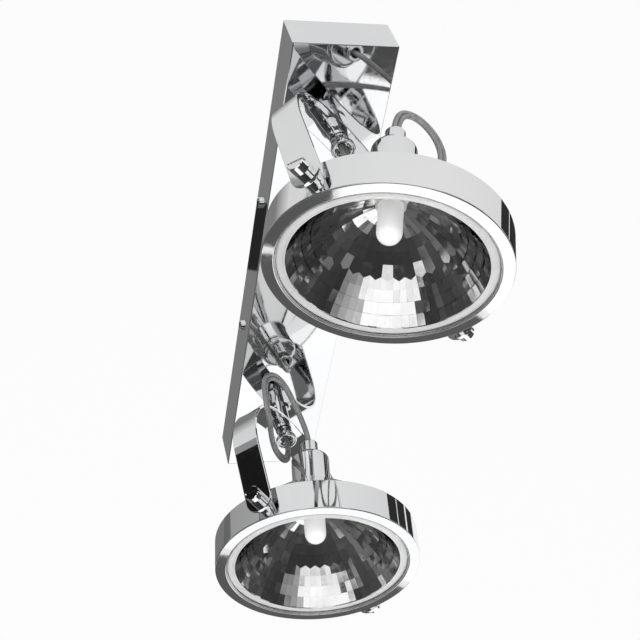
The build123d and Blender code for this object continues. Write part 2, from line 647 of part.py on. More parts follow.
def rear_housing():
    flange = DRUM_RADIUS - DRUM_SHEET - FIT_GAP
    neck = HOUSING_NECK_DIAMETER / 2
    spigot = SPIGOT_DIAMETER / 2
    sheet = HOUSING_SHEET
    return lathe([
        (flange, -DRUM_BACK + HOUSING_FLANGE), (flange, -DRUM_BACK), (neck, -HOUSING_END),
        (spigot, -HOUSING_END), (spigot, -HOUSING_END - SPIGOT_LENGTH),
        (spigot - sheet, -HOUSING_END - SPIGOT_LENGTH), (spigot - sheet, -HOUSING_END + sheet),
        (neck - sheet, -HOUSING_END + sheet), (flange - sheet, -DRUM_BACK + sheet),
        (flange - sheet, -DRUM_BACK + HOUSING_FLANGE),
    ])


def rear_cap():
    cap = rod(CAP_DIAMETER / 2, -CAP_BACK, -HOUSING_END)
    cap = fillet(cap.edges().sort_by(Axis.Z)[0], CAP_SHOULDER_RADIUS)
    spigot_end = -HOUSING_END - SPIGOT_LENGTH - CUT_PAST
    cap -= rod(SPIGOT_DIAMETER / 2 + FIT_GAP, spigot_end, -HOUSING_END + CUT_PAST)
    cap -= rod(CAP_DIAMETER / 2 - CAP_WALL - CAP_SHOULDER_RADIUS / 2, -CAP_BACK + CAP_END, -HOUSING_END)
    return cap - rod(GLAND_SPIGOT_DIAMETER / 2 + FIT_GAP, -CAP_BACK - CUT_PAST, -HOUSING_END)


def cap_gland():
    gland = rod(GLAND_DIAMETER / 2, -GLAND_BACK, -CAP_BACK)
    gland = chamfer(gland.edges().sort_by(Axis.Z)[0], GLAND_EDGE)
    gland += rod(GLAND_SPIGOT_DIAMETER / 2, -CAP_BACK, -gland_spigot_end())
    gland -= rod(CORD_DIAMETER / 2 + CORD_MOUTH_GAP, -GLAND_BACK - CUT_PAST, -GLAND_FLOOR)
    return gland - rod(BELL_LEAD_BORE / 2, -GLAND_BACK, -HOUSING_END)


def gland_spigot_end():
    return CAP_BACK - CAP_END - GLAND_NUT_HEIGHT - SPIGOT_PAST_NUT


def gland_nut():
    start = -CAP_BACK + CAP_END
    bore = GLAND_SPIGOT_DIAMETER + 2 * FIT_GAP
    return hex_nut(GLAND_NUT_ACROSS_FLATS, bore, start, start + GLAND_NUT_HEIGHT)


def pivot_sides():
    """Frames on the tilt axis, looking out through each arm of the bow."""
    return [Rot(0, 90, 0), Rot(0, -90, 0)]


def thumb_screws():
    seat = BOW_OUTER_RADIUS + THRUST_GAP
    end = seat + THUMB_HEAD_LENGTH
    head = chamfer(rod(THUMB_HEAD_DIAMETER / 2, seat, end).edges().sort_by(Axis.Z)[-1], THUMB_EDGE)
    slot = Box(THUMB_SLOT_WIDTH, THUMB_HEAD_DIAMETER + CUT_PAST, 2 * THUMB_SLOT_DEPTH)
    head -= Pos(0, 0, end) * slot
    screw = head + rod(THUMB_SHANK_DIAMETER / 2, tilt_nut_start(), seat)
    return [side * screw for side in pivot_sides()]


def tilt_nut_start():
    return DRUM_RADIUS - DRUM_SHEET - TILT_NUT_HEIGHT - SHANK_PAST_NUT


def pivot_bushes():
    bore = THUMB_SHANK_DIAMETER / 2 + FIT_GAP
    bush = tube(BUSH_DIAMETER / 2, bore, DRUM_RADIUS - BUSH_DIAMETER / 2, BOW_INNER_RADIUS - THRUST_GAP)
    core = rod(DRUM_RADIUS, -DRUM_DIAMETER, DRUM_DIAMETER)
    return [side * bush - core for side in pivot_sides()]


def tilt_nuts():
    bore = THUMB_SHANK_DIAMETER + 2 * FIT_GAP
    nut = hex_nut(TILT_NUT_ACROSS_FLATS, bore, tilt_nut_start(), DRUM_RADIUS)
    inside = rod(DRUM_RADIUS - DRUM_SHEET, -DRUM_DIAMETER, DRUM_DIAMETER)
    return [side * nut & inside for side in pivot_sides()]


# Cord: straight runs joined by tangent arcs
def cord_points(unit):
    tilt = math.radians(TILT_DEGREES[unit])

    def behind(distance):
        return (0, distance * math.sin(tilt), PIVOT_HEIGHT - distance * math.cos(tilt))

    ends = [behind(GLAND_FLOOR + CORD_STRAIGHT_AT_GLAND), behind(GLAND_FLOOR)]
    return [Vector(*p) for p in [(0, 0, BELL_FLOOR), *CORD_ROUTE[unit], *ends]]


def corner_radii(points):
    radii = []
    for before, corner, after in zip(points, points[1:], points[2:]):
        turn = math.radians((corner - before).get_angle(after - corner))
        run = min((corner - before).length, (after - corner).length)
        radii.append(0.45 * run / math.tan(turn / 2))
    return radii


def cord(unit):
    points = cord_points(unit)
    radii = corner_radii(points)
    path = FilletPolyline(*points, radius=radii)
    solid = round_sweep(path, CORD_DIAMETER)
    section = math.pi * CORD_DIAMETER ** 2 / 4
    print(unit, "cord radii", [round(r, 1) for r in radii], "length", round(path.length, 1),
          "volume share", round(solid.volume / (section * path.length), 4))
    return solid


# Write the fixed pieces
save("canopy", canopy())
save("wall_bracket", wall_bracket())
save("canopy_screws", *side_screws())
save("upper_transformer", transformer(1))
save("lower_transformer", transformer(-1))
save("transformer_nuts", *stud_nuts())
save("terminal_block", terminal_block())
save("terminal_clamps", *terminal_clamps())
save("terminal_screws", *terminal_screws())
save("earth_screw", earth_screw())
save("earth_tag", earth_tag())

# Write the two lights
for unit in SWIVEL_HEIGHT:
    place = unit_frame(unit)
    save(f"{unit}_swivel_stem", place * swivel_stem())
    save(f"{unit}_stop_washer", place * stop_washer())
    save(f"{unit}_stem_nut", place * stem_nut())
    save(f"{unit}_bow", place * bow())
    save(f"{unit}_bell", place * bell())
    save(f"{unit}_cord", place * cord(unit))
    place = head_frame(unit)
    save(f"{unit}_drum", place * drum())
    save(f"{unit}_rear_housing", place * rear_housing())
    save(f"{unit}_rear_cap", place * rear_cap())
    save(f"{unit}_cap_gland", place * cap_gland())
    save(f"{unit}_gland_nut", place * gland_nut())
    save(f"{unit}_lamp_reflector", place * lamp_reflector())
    save(f"{unit}_lamp_burner", place * lamp_burner())
    save(f"{unit}_lamp_base", place * lamp_base())
    save(f"{unit}_lamp_lugs", *[place * lug for lug in lamp_lugs()])
    save(f"{unit}_lamp_leads", *[place * lead for lead in lamp_leads()])
    save(f"{unit}_lamp_retainer", place * lamp_retainer())
    save(f"{unit}_thumb_screws", *[place * screw for screw in thumb_screws()])
    save(f"{unit}_pivot_bushes", *[place * bush for bush in pivot_bushes()])
    save(f"{unit}_tilt_nuts", *[place * nut for nut in tilt_nuts()])
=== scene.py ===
import json
import math
import random

import bmesh
import bpy
from mathutils import Matrix, Quaternion, Vector


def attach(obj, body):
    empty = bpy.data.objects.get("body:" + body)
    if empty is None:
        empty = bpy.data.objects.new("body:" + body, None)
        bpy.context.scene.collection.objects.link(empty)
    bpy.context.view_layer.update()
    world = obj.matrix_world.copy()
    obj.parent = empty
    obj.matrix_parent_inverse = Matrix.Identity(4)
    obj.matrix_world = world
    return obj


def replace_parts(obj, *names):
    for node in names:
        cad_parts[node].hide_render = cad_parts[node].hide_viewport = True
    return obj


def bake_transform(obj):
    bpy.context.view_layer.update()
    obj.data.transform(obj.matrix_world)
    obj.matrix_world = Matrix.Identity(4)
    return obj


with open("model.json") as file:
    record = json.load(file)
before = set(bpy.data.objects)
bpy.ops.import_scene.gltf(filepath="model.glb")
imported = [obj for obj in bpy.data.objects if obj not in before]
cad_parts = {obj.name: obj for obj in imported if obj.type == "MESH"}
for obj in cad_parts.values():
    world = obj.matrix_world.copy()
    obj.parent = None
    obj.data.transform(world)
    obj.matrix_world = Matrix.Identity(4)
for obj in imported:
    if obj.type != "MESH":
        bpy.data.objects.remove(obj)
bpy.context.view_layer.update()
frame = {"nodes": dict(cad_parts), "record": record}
nodes = frame["nodes"]
scene = bpy.context.scene
scene.view_settings.view_transform = "Standard"

MM = 0.001
CANOPY_DEPTH = 26 * MM
PIVOT_HEIGHT = 124 * MM
SWIVEL = {"upper": -44.0, "lower": -51.0}
TILT = {"upper": 21.0, "lower": 10.0}
HEIGHT = {"upper": 115 * MM, "lower": -115 * MM}


def unit_matrix(unit):
    """Swivel frame: X along the tilt axis, Z out of the canopy front."""
    turn = math.radians(SWIVEL[unit])
    x = Vector((math.cos(turn), 0, math.sin(turn)))
    z = Vector((0, -1, 0))
    y = z.cross(x)
    m = Matrix((x, y, z)).transposed().to_4x4()
    m.translation = Vector((0, -CANOPY_DEPTH, HEIGHT[unit]))
    return m


def head_matrix(unit):
    """Head frame: pivot at the origin, Z along the beam, X along the tilt axis."""
    tilt = Matrix.Rotation(math.radians(TILT[unit]), 4, "X")
    return unit_matrix(unit) @ Matrix.Translation((0, 0, PIVOT_HEIGHT)) @ tilt


# Camera at the photograph's place
def make_camera():
    right = Vector((0.9645, -0.21424, 0.1544))
    up = Vector((0.02067, 0.64411, 0.76466))
    back = Vector((-0.26326, -0.73432, 0.62568))
    place = Vector((-0.18836, -0.59655, 0.45419))
    data = bpy.data.cameras.new("camera")
    data.sensor_width = 36
    data.lens = 67.05
    data.clip_start = 0.01
    data.clip_end = 20
    camera = bpy.data.objects.new("camera", data)
    m = Matrix((right, up, back)).transposed().to_4x4()
    m.translation = place
    camera.matrix_world = m
    scene.collection.objects.link(camera)
    scene.camera = camera


make_camera()


# Materials
class Shader:
    """A principled material with short helpers for its node tree."""

    def __init__(self, name):
        self.material = bpy.data.materials.new(name)
        self.material.use_nodes = True
        self.tree = self.material.node_tree
        self.bsdf = self.tree.nodes["Principled BSDF"]
        self.coords = None

    def set(self, **values):
        for key, value in values.items():
            socket = self.bsdf.inputs[key.replace("_", " ")]
            socket.default_value = (*value, 1) if isinstance(value, tuple) else value
        return self

    def node(self, kind, **props):
        node = self.tree.nodes.new(kind)
        for key, value in props.items():
            setattr(node, key, value)
        return node

    def link(self, a, b):
        self.tree.links.new(a, b)

    def position(self):
        if self.coords is None:
            self.coords = self.node("ShaderNodeTexCoord").outputs["Object"]
        return self.coords

    def noise(self, scale, detail=3.0, stretch=None):
        source = self.position()
        if stretch is not None:
            mapping = self.node("ShaderNodeMapping")
            mapping.inputs["Scale"].default_value = stretch
            self.link(source, mapping.inputs["Vector"])
            source = mapping.outputs["Vector"]
        noise = self.node("ShaderNodeTexNoise")
        noise.inputs["Scale"].default_value = scale
        noise.inputs["Detail"].default_value = detail
        self.link(source, noise.inputs["Vector"])
        return noise.outputs["Fac"]

    def ramp(self, fac, low, high, socket, start=0.35, end=0.65):
        node = self.node("ShaderNodeMapRange")
        node.inputs["From Min"].default_value = start
        node.inputs["From Max"].default_value = end
        node.inputs["To Min"].default_value = low
        node.inputs["To Max"].default_value = high
        self.link(fac, node.inputs["Value"])
        self.link(node.outputs["Result"], self.bsdf.inputs[socket])

    def colours(self, fac, dark, light, start=0.35, end=0.65):
        node = self.node("ShaderNodeValToRGB")
        node.color_ramp.elements[0].position = start
        node.color_ramp.elements[0].color = (*dark, 1)
        node.color_ramp.elements[1].position = end
        node.color_ramp.elements[1].color = (*light, 1)
        self.link(fac, node.inputs["Fac"])
        self.link(node.outputs["Color"], self.bsdf.inputs["Base Color"])

    def bump(self, fac, strength, distance):
        node = self.node("ShaderNodeBump")
        node.inputs["Strength"].default_value = strength
        node.inputs["Distance"].default_value = distance
        self.link(fac, node.inputs["Height"])
        self.link(node.outputs["Normal"], self.bsdf.inputs["Normal"])


def chrome():
    s = Shader("mirror_chrome").set(Metallic=1.0)
    s.colours(s.noise(9, 2), (0.80, 0.805, 0.815), (0.86, 0.86, 0.862))
    s.ramp(s.noise(420, 4), 0.025, 0.06, "Roughness")
    s.bump(s.noise(24, 1), 0.05, 0.0004)
    return s.material


def plated_steel():
    s = Shader("plated_steel").set(Metallic=1.0)
    s.colours(s.noise(60, 3), (0.50, 0.51, 0.52), (0.66, 0.66, 0.65))
    s.ramp(s.noise(300, 4, (1, 8, 1)), 0.22, 0.40, "Roughness")
    s.bump(s.noise(900, 2), 0.15, 0.00005)
    return s.material


def reflector_metal():
    s = Shader("reflector_metal").set(Metallic=1.0)
    s.colours(s.noise(70, 2), (0.78, 0.78, 0.79), (0.90, 0.90, 0.90))
    s.ramp(s.noise(500, 3), 0.07, 0.12, "Roughness")
    return s.material


def rolled_rim():
    s = Shader("rolled_rim").set(Metallic=0.3)
    s.colours(s.noise(50, 3), (0.80, 0.80, 0.80), (0.88, 0.88, 0.88))
    s.ramp(s.noise(300, 3), 0.40, 0.52, "Roughness")
    return s.material


def frosted_glass():
    s = Shader("frosted_glass").set(Roughness=0.35, IOR=1.48)
    s.set(Subsurface_Weight=0.9, Subsurface_Scale=0.008, Subsurface_Radius=[1, 1, 1])
    # Painted light: the burner glows faintly by itself, standing in for the light that the mirror bowl throws
    # back on it
    s.set(Emission_Color=(1, 1, 0.99), Emission_Strength=0.32)
    s.colours(s.noise(120, 3), (0.80, 0.80, 0.795), (0.84, 0.84, 0.835))
    s.bump(s.noise(2500, 2), 0.2, 0.00003)
    return s.material


def cord_sleeve():
    s = Shader("cord_sleeve").set(Roughness=0.3)
    s.colours(s.noise(160, 3), (0.19, 0.19, 0.192), (0.27, 0.27, 0.272))
    s.bump(s.noise(2200, 3), 0.2, 0.00004)
    return s.material


def moulded(name, dark, light):
    s = Shader(name).set(Roughness=0.5)
    s.colours(s.noise(90, 3), dark, light)
    s.bump(s.noise(1500, 3), 0.2, 0.00005)
    return s.material


def brass():
    s = Shader("turned_brass").set(Metallic=1.0)
    s.colours(s.noise(80, 3), (0.62, 0.46, 0.20), (0.78, 0.62, 0.32))
    s.ramp(s.noise(350, 4), 0.18, 0.34, "Roughness")
    return s.material


MATERIALS = {
    "chrome": chrome(),
    "steel": plated_steel(),
    "reflector": reflector_metal(),
    "rim": rolled_rim(),
    "burner": frosted_glass(),
    "cord": cord_sleeve(),
    "case": moulded("moulded_case", (0.66, 0.66, 0.64), (0.74, 0.74, 0.72)),
    "terminal": moulded("white_nylon", (0.76, 0.76, 0.74), (0.84, 0.84, 0.82)),
    "ceramic": moulded("white_ceramic", (0.72, 0.71, 0.68), (0.80, 0.79, 0.76)),
    "lead": moulded("lead_sleeve", (0.74, 0.74, 0.72), (0.82, 0.82, 0.80)),
    "brass": brass(),
}
MATERIALS["screw"] = MATERIALS["chrome"]


def paint(obj, slot):
    obj.data.materials.clear()
    obj.data.materials.append(MATERIALS[slot])


for row in frame["record"]["subparts"]:
    paint(nodes[row["node"]], row["material_slot"])


def add_mesh(name, bm, slot, body, smooth=True):
    mesh = bpy.data.meshes.new(name)
    bm.to_mesh(mesh)
    bm.free()
    for polygon in mesh.polygons:
        polygon.use_smooth = smooth
    obj = bpy.data.objects.new(name, mesh)
    scene.collection.objects.link(obj)
    paint(obj, slot)
    if body:
        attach(obj, body)
    return obj


def mark_sharp(bm, degrees=32):
    for edge in bm.edges:
        if len(edge.link_faces) == 2 and edge.calc_face_angle() > math.radians(degrees):
            edge.smooth = False


# Cords: the routes of the solids, from the bell's floor to the gland's floor
CORD_DIAMETER = 5.6 * MM
BELL_FLOOR = 23.5
GLAND_FLOOR = 80.0
CORD_STRAIGHT_AT_GLAND = 9.0
CORD_ROUTE = {
    "upper": [
        (0.0, 0.0, 35.0),
        (4.0, 1.5, 47.0),
        (14.0, 7.0, 54.5),
        (27.0, 18.0, 56.0),
        (37.0, 30.0, 49.5),
        (40.5, 38.5, 38.0),
        (39.5, 41.5, 26.0),
        (33.5, 42.0, 17.0),
        (24.0, 40.8, 14.5),
        (14.0, 38.8, 18.5),
        (5.5, 36.2, 26.5),
    ],
    "lower": [
        (0.0, 0.0, 35.0),
        (-3.5, -1.5, 46.0),
        (-14.0, -1.5, 52.5),
        (-29.0, 1.0, 53.0),
        (-44.5, 9.0, 49.0),
        (-56.0, 15.0, 38.5),
        (-58.5, 18.5, 26.5),
        (-49.0, 21.5, 17.5),
        (-34.0, 21.5, 13.7),
        (-19.0, 19.0, 16.5),
        (-6.5, 17.0, 25.5),
    ],
}


def cord_route(unit):
    tilt = math.radians(TILT[unit])

    def behind(distance):
        return (0, distance * math.sin(tilt), PIVOT_HEIGHT / MM - distance * math.cos(tilt))

    points = [(0, 0, BELL_FLOOR), *CORD_ROUTE[unit]]
    points += [behind(GLAND_FLOOR + CORD_STRAIGHT_AT_GLAND), behind(GLAND_FLOOR)]
    m = unit_matrix(unit)
    return [m @ (Vector(p) * MM) for p in points]


def spline_points(name, route):
    """Points along the smooth line that has the route as its control points."""
    data = bpy.data.curves.new(name, "CURVE")
    data.dimensions = "3D"
    data.resolution_u = 16
    spline = data.splines.new("NURBS")
    spline.points.add(len(route) - 1)
    for point, place in zip(spline.points, route):
        point.co = (*place, 1)
    spline.order_u = 3
    spline.use_endpoint_u = True
    curve = bpy.data.objects.new(name, data)
    scene.collection.objects.link(curve)
    line = bpy.data.meshes.new_from_object(curve)
    points = [v.co.copy() for v in line.vertices]
    bpy.data.meshes.remove(line)
    bpy.data.objects.remove(curve)
    bpy.data.curves.remove(data)
    return points


def twin_section(steps=22):
    """Outline of two round leads that touch, as (along, across) in lead radii."""
    half_angle = 168
    right = []
    for k in range(steps + 1):
        angle = math.radians(-half_angle + 2 * half_angle * k / steps)
        right.append((1 + math.cos(angle), math.sin(angle)))
    return right + [(-a, -b) for a, b in right]


def cord_mesh(points):
    """A flat cord of two leads side by side in the plane of its loop."""
    radius = CORD_DIAMETER / 4
    tangents = []
    for i in range(len(points)):
        tangents.append((points[min(i + 1, len(points) - 1)] - points[max(i - 1, 0)]).normalized())
    plane = Vector()
    for a, b in zip(tangents, tangents[1:]):
        plane += a.cross(b)
    bm = bmesh.new()
    rings = []
    for point, tangent in zip(points, tangents):
        side = plane.cross(tangent).normalized()
        across = tangent.cross(side)
        rings.append([bm.verts.new(point + (side * a + across * b) * radius) for a, b in twin_section()])
    count = len(rings[0])
    for a, b in zip(rings, rings[1:]):
        for k in range(count):
            n = (k + 1) % count
            bm.faces.new((a[k], a[n], b[n], b[k]))
    bm.faces.new(list(reversed(rings[0])))
    bm.faces.new(rings[-1])
    bmesh.ops.recalc_face_normals(bm, faces=bm.faces)
    mark_sharp(bm, degrees=60)
    return bm


def path_stations(points):
    """Length along the line from its start to each of its points."""
    stations = [0.0]
    for a, b in zip(points, points[1:]):
        stations.append(stations[-1] + (b - a).length)
    return stations


def blend_along(cord, points):
    """Lays the cord straight along its length, bakes its object transform into the mesh while it lies so, and
    then puts back its shape.
    """
    stations = path_stations(points)
    shape = [v.co.copy() for v in cord.data.vertices]
    ring = len(shape) // len(points)
    for i, vertex in enumerate(cord.data.vertices):
        vertex.co = (stations[i // ring], 0, 0)
    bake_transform(cord)
    for vertex, place in zip(cord.data.vertices, shape):
        vertex.co = place


for unit in HEIGHT:
    route = cord_route(unit)
    line = spline_points(f"{unit}_cord_line", route)
    cord = add_mesh(f"{unit}_cord_sleeve", cord_mesh(line), "cord", None)
    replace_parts(cord, f"{unit}_cord")
    blend_along(cord, line)


# Turned pieces: a closed outline of corners, each with its own rounding, spun about the beam
ROUNDING_SHARE = 0.45  # most of an edge that one rounding may take
HOLD_SHARE = 0.05  # of an edge, beside a rounding, that is held flat
HOLD_MOST = 0.1


def rounded(corners, steps=5):
    """Outline points for (radius, height, rounding) corners, with flats that stay flat up to the rounding."""
    out = []
    count = len(corners)
    for i, (r, z, rounding) in enumerate(corners):
        here = Vector((r, z))
        before = Vector(corners[i - 1][:2]) - here
        after = Vector(corners[(i + 1) % count][:2]) - here
        if rounding <= 0:
            out.append(here)
            continue
        half = before.angle(after) / 2
        most = ROUNDING_SHARE * min(before.length, after.length)
        reach = min(rounding / math.tan(half), most)
        a = here + before.normalized() * reach
        b = here + after.normalized() * reach
        centre_way = (before.normalized() + after.normalized()).normalized()
        size = reach * math.tan(half)
        centre = here + centre_way * (size / math.sin(half))
        hold = [side.normalized() * min(HOLD_MOST, HOLD_SHARE * side.length) for side in (before, after)]
        out.append(a + hold[0])
        for k in range(steps + 1):
            way = (a - centre).lerp(b - centre, k / steps).normalized()
            out.append(centre + way * size)
        out.append(b + hold[1])
    return out


def spin(outline, columns):
    """A closed outline turned about the axis; a point on the axis becomes one vertex."""
    bm = bmesh.new()
    rings = []
    for point in outline:
        if point.x < 1e-6:
            rings.append([bm.verts.new((0, 0, point.y * MM))])
            continue
        ring = []
        for k in range(columns):
            angle = 2 * math.pi * k / columns
            place = Vector((point.x * math.cos(angle), point.x * math.sin(angle), point.y))
            ring.append(bm.verts.new(place * MM))
        rings.append(ring)
    for a, b in zip(rings, rings[1:] + rings[:1]):
        for k in range(columns):
            n = (k + 1) % columns
            corners = [a[k % len(a)], a[n % len(a)], b[n % len(b)], b[k % len(b)]]
            corners = list(dict.fromkeys(corners))
            if len(corners) > 2:
                bm.faces.new(corners)
    bmesh.ops.recalc_face_normals(bm, faces=bm.faces)
    return bm


def turned(name, corners, columns, slot, body, matrix, *replaced):
    bm = spin(rounded(corners), columns)
    mark_sharp(bm)
    bm.transform(matrix)
    obj = add_mesh(name, bm, slot, body)
    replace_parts(obj, *replaced)
    return obj


# Lamp: facets inside the bowl and a smooth rim and back
LAMP_FACE = 8.4
BOWL_RIM = 8.0
BOWL_DEPTH = 41.0
BOWL_RADIUS = 50.5
NECK_RADIUS = 8.0
BOWL_WALL = 1.0
LEDGE_TOP = 7.2
LAMP_RADIUS = 55.5
INNER_ROWS = 5
OUTER_ROWS = 4
OUTER_COLUMNS = 72
ZIGZAG = 1.3
SEAM = 0.028
FACET_TURN = 2.6
OUTER_LEAN = 2.5
SHELL_GAP = 0.7  # from the facets back to the shell that carries them
BISECTIONS = 40


def bowl_height(radius):
    return BOWL_RIM - BOWL_DEPTH + BOWL_DEPTH * (radius / BOWL_RADIUS) ** 2


def bowl_arc(radius):
    """Length along the bowl from its middle to a radius."""
    slope = 2 * BOWL_DEPTH / BOWL_RADIUS ** 2
    return (radius * math.sqrt(1 + (slope * radius) ** 2) + math.asinh(slope * radius) / slope) / 2


def bowl_rows():
    """Radii that part the bowl into rows of equal height along its wall."""
    count = INNER_ROWS + OUTER_ROWS
    first = bowl_arc(NECK_RADIUS)
    step = (bowl_arc(BOWL_RADIUS) - first) / count
    radii = []
    for i in range(count + 1):
        low, high = 0.0, 2 * BOWL_RADIUS
        for _ in range(BISECTIONS):
            middle = (low + high) / 2
            low, high = (middle, high) if bowl_arc(middle) < first + step * i else (low, middle)
        radii.append(low)
    return radii


def bowl_point(radius, column):
    angle = 2 * math.pi * column / OUTER_COLUMNS
    return Vector((radius * math.cos(angle), radius * math.sin(angle), bowl_height(radius)))


def add_facet(bm, places, lean, draw):
    """A flat facet, leaned towards the axis and turned a little by chance, with a fine seam round it."""
    centre = sum(places, Vector()) / len(places)
    normal = Vector()
    for a, b in zip(places, places[1:] + places[:1]):
        normal += (a - centre).cross(b - centre)
    normal.normalize()
    inward = Vector((-centre.x, -centre.y, 0))
    normal.rotate(Quaternion(normal.cross(inward), math.radians(lean)))
    turn = Vector((draw.uniform(-1, 1), draw.uniform(-1, 1), draw.uniform(-1, 1)))
    normal = (normal + turn * math.radians(FACET_TURN)).normalized()
    inner = []
    for place in places:
        way = place - centre
        flat = centre + way * (1 - SEAM * MM / way.length)
        inner.append(bm.verts.new(flat - normal * (flat - centre).dot(normal)))
    bm.faces.new(inner)


def facet_mesh(seed):
    """Wide facets by the neck, with pointed ends where they meet the narrow ones of the outer rows."""
    draw = random.Random(seed)
    bm = bmesh.new()
    rings = []
    for i, radius in enumerate(bowl_rows()):
        ring = []
        for k in range(OUTER_COLUMNS):
            point_out = ZIGZAG if i == INNER_ROWS and k % 2 else 0
            ring.append(bowl_point(radius + point_out, k) * MM)
        rings.append(ring)
    for i, (a, b) in enumerate(zip(rings, rings[1:])):
        step, lean = (1, OUTER_LEAN) if i >= INNER_ROWS else (2, 0)
        for k in range(0, OUTER_COLUMNS, step):
            n = (k + step) % OUTER_COLUMNS
            corners = [a[k], b[k], b[n], a[n]]
            if i == INNER_ROWS - 1:
                corners.insert(2, b[k + 1])
            add_facet(bm, corners, lean, draw)
    return bm


def lamp_shell():
    """Rim and back of the lamp as an outline with (radius, height, rounding) corners."""
    steps = 14
    back = []
    for i in range(steps + 1):
        r = BOWL_RADIUS - (BOWL_RADIUS - NECK_RADIUS) * i / steps
        back.append((r + BOWL_WALL, bowl_height(r) - BOWL_WALL, 0))
    front = [
        (NECK_RADIUS, bowl_height(NECK_RADIUS) - 0.1, 0),
        *[(r, bowl_height(r) - SHELL_GAP, 0) for r in (15, 22, 29, 36, 43, BOWL_RADIUS - 0.6)],
        (BOWL_RADIUS - 0.2, BOWL_RIM - 0.1, 0), (BOWL_RADIUS, LAMP_FACE + 0.3, 0.25),
        (BOWL_RADIUS + 0.7, LAMP_FACE + 0.3, 0.25), (BOWL_RADIUS + 0.9, LAMP_FACE - 0.1, 0.1),
        (LAMP_RADIUS - 0.7, LAMP_FACE - 0.1, 0.2), (LAMP_RADIUS, LAMP_FACE - 0.5, 0.2),
        (LAMP_RADIUS, LEDGE_TOP, 0.1), (BOWL_RADIUS + BOWL_WALL, LEDGE_TOP, 0),
    ]
    return front + back


ARM_END_STEPS = 16
BEND_STEPS = 121
TIP_HALF_WIDTH = 0.12
EDGE_BREAK = 0.35


def bow_mesh():
    """Strip with softly broken edges, bent to a half circle, with full-round arm ends."""
    outer = 69.5
    sheet = 2.0
    half_width = 8.25
    stem = 16.0
    centre = stem + outer
    pivot = PIVOT_HEIGHT / MM
    middle = outer - sheet / 2
    stations = []
    for i in range(ARM_END_STEPS + 1):
        angle = math.pi / 2 * i / ARM_END_STEPS
        lift = half_width * math.sin(angle)
        width = max(half_width * math.cos(angle), TIP_HALF_WIDTH)
        stations.append((pivot + lift, width))
    stations.reverse()
    line = [(Vector((middle, z)), Vector((1, 0)), width) for z, width in stations]
    line.append((Vector((middle, centre)), Vector((1, 0)), half_width))
    for i in range(1, BEND_STEPS):
        angle = -math.pi * i / BEND_STEPS
        way = Vector((math.cos(angle), math.sin(angle)))
        line.append((Vector((0, centre)) + way * middle, way, half_width))
    line.append((Vector((-middle, centre)), Vector((-1, 0)), half_width))
    line += [(Vector((-middle, z)), Vector((-1, 0)), width) for z, width in reversed(stations)]
    bm = bmesh.new()
    rings = []
    for place, way, width in line:
        edge = min(EDGE_BREAK, width / 2)
        dip = edge * 0.3
        h = sheet / 2
        section = [
            (h, -width + edge), (h, width - edge), (h - dip, width - dip), (h - edge, width),
            (-h + edge, width), (-h + dip, width - dip), (-h, width - edge), (-h, -width + edge),
            (-h + dip, -width + dip), (-h + edge, -width), (h - edge, -width), (h - dip, -width + dip),
        ]
        ring = []
        for u, v in section:
            p = place + way * u
            ring.append(bm.verts.new(Vector((p.x, v, p.y)) * MM))
        rings.append(ring)
    for a, b in zip(rings, rings[1:]):
        for k in range(len(a)):
            n = (k + 1) % len(a)
            bm.faces.new((a[k], a[n], b[n], b[k]))
    bm.faces.new(rings[0])
    bm.faces.new(list(reversed(rings[-1])))
    bmesh.ops.recalc_face_normals(bm, faces=bm.faces)
    mark_sharp(bm, degrees=18)
    return bm


# Outlines of the turned pieces, as (radius, height, rounding) corners in millimetres
DRUM = [
    (62.5, -10, 0.4), (62.5, 9.7, 0.6), (56.0, 10, 0.4), (56.0, 7.2, 0.1), (52.5, 7.2, 0.1),
    (52.5, 6.0, 0.1), (57.2, 6.0, 0.1), (57.2, 8.8, 0.1), (61.3, 8.8, 0.1), (61.3, -10, 0.3),
]
REAR_CAP = [
    (9.6, -50, 0.1), (12.5, -50, 0.3), (12.5, -73, 3.0), (5.0, -73, 0.1), (5.0, -71, 0.1), (9.6, -71, 0.1),
]
CAP_GLAND = [
    (3.1, -73, 0.1), (5.7, -73, 0.1), (5.7, -85, 1.0), (3.1, -85, 0.4),
]
BELL = [
    (1.8, 18.6, 0.1), (5.5, 18.6, 0.2), (5.5, 20.5, 0.8), (5.9, 23.2, 2.0), (7.0, 26.0, 1.0),
    (7.0, 28.5, 0.8), (5.8, 28.5, 0.5), (5.6, 27.6, 0.2), (4.9, 27.6, 0.2), (4.6, 26.2, 0.2),
    (3.6, 25.8, 0.3), (3.4, 23.5, 0.1), (1.8, 23.5, 0.1),
]
for unit in HEIGHT:
    yoke = f"{unit}_yoke"
    head = f"{unit}_head"
    to_yoke = unit_matrix(unit)
    to_head = head_matrix(unit)
    turned(f"{unit}_drum_ring", DRUM, 256, "chrome", head, to_head, f"{unit}_drum")
    turned(f"{unit}_rear_cap_turned", REAR_CAP, 128, "chrome", head, to_head, f"{unit}_rear_cap")
    turned(f"{unit}_gland_turned", CAP_GLAND, 96, "chrome", head, to_head, f"{unit}_cap_gland")
    turned(f"{unit}_bell_turned", BELL, 96, "chrome", yoke, to_yoke, f"{unit}_bell")
    lamp = f"{unit}_lamp_reflector"
    shell = turned(f"{unit}_lamp_rim", lamp_shell(), 192, "reflector", head, to_head, lamp)
    shell.data.materials.append(MATERIALS["rim"])
    to_axis = to_head.inverted()
    for polygon in shell.data.polygons:
        place = to_axis @ polygon.center
        if place.xy.length > BOWL_RADIUS * MM and place.z > LEDGE_TOP * MM:
            polygon.material_index = 1
    bm = facet_mesh(seed=unit)
    bm.transform(to_head)
    add_mesh(f"{unit}_lamp_facets", bm, "reflector", head, smooth=False)
    bm = bow_mesh()
    bm.transform(to_yoke)
    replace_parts(add_mesh(f"{unit}_bow_strip", bm, "chrome", yoke), f"{unit}_bow")


# Stage: surroundings that are white to the camera and the mirrors, and soft lamps that mirrors don't show
AMBIENT_LEVEL = 0.6


